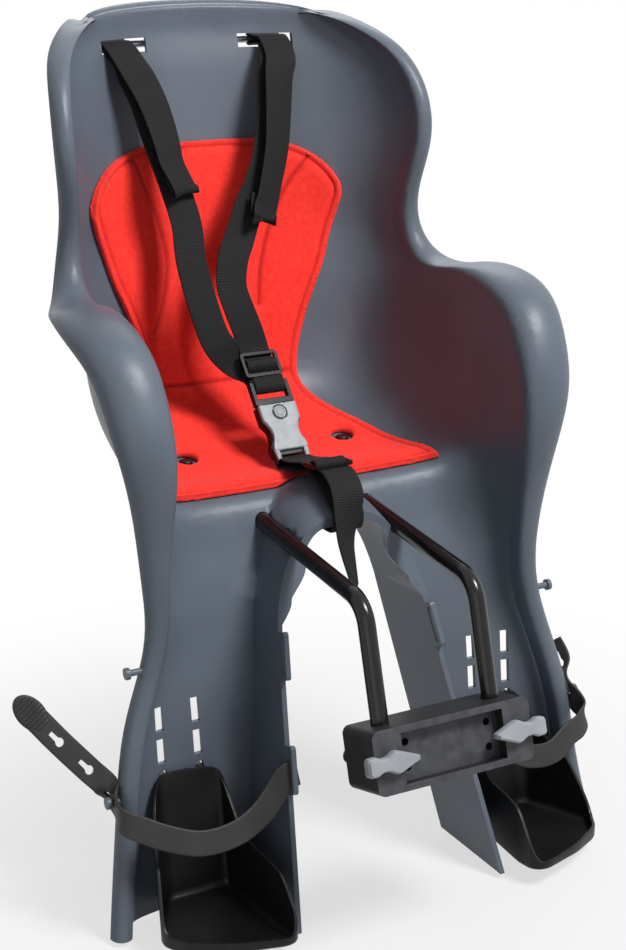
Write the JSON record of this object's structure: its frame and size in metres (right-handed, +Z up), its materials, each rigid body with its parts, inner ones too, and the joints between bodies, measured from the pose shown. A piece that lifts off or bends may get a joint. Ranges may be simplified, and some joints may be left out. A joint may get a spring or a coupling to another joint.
{
  "type": "child bike seat",
  "caption": "Bucket seat for a small child with head rest, arms, leg channels, red pad, harness and footrests, carried by a bent bar that plugs into a clamp block.",
  "frame": {"origin": "centre of the clamp block's front face", "axes": "+Z up with the seat as on an upright bicycle, -Y forwards, +X to the right as seen from the front; the bar and block lean back by 16 degrees"},
  "size_m": [0.471, 0.4509, 0.6451],
  "materials": {
    "shell": "bluish dark grey moulded polypropylene, satin grain",
    "pad": "bright red pressed foam pad",
    "bow": "gloss black painted steel bar",
    "block": "black glass-filled nylon",
    "lever": "pale grey plastic",
    "steel": "zinc plated steel",
    "screw": "blackened steel",
    "webbing": "black nylon webbing",
    "buckle": "black acetal",
    "buckle_face": "light grey acetal",
    "footrest": "black polypropylene",
    "foot_strap": "black rubber"
  },
  "bodies": {
    "block": {"clamp_block": "block"},
    "seat": {"seat_shell": "shell", "seat_pad": "pad", "support_bow": "bow", "bow_saddle": "steel", "saddle_screws": "screw", "saddle_nuts": "steel", "strap_bar_left": "steel", "strap_bar_right": "steel", "crotch_bar": "steel", "shoulder_strap_left": "webbing", "shoulder_strap_right": "webbing", "crotch_strap": "webbing", "crotch_anchor": "webbing", "shoulder_slider": "buckle", "crotch_slider": "buckle", "buckle_tongue": "buckle", "buckle_back": "buckle", "buckle_front": "buckle_face", "button_spring": "steel", "footrest_left": "footrest", "footrest_right": "footrest", "foot_strap_left": "foot_strap", "foot_strap_right": "foot_strap"},
    "lever_left": {"lever_left": "lever", "lever_ring_left": "steel"},
    "lever_right": {"lever_right": "lever", "lever_ring_right": "steel"},
    "button": {"buckle_button": "buckle_face"}
  },
  "joints": [
    {"name": "seat_lift", "type": "slide", "parent": "block", "child": "seat", "axis": [0, 0.2756, 0.9613], "range_m": [0, 0.036]},
    {"name": "lever_left_turn", "type": "hinge", "parent": "block", "child": "lever_left", "pos_m": [-0.059, 0, 0], "axis": [0, -0.9613, 0.2756], "range_deg": [0, 90]},
    {"name": "lever_right_turn", "type": "hinge", "parent": "block", "child": "lever_right", "pos_m": [0.059, 0, 0], "axis": [0, -0.9613, 0.2756], "range_deg": [-90, 0]},
    {"name": "button_press", "type": "slide", "parent": "seat", "child": "button", "axis": [0, 0.7716, -0.6361], "range_m": [0, 0.002], "stiffness_N_per_m": 300, "springref_m": -0.002, "deforming": ["button_spring"]}
  ]
}
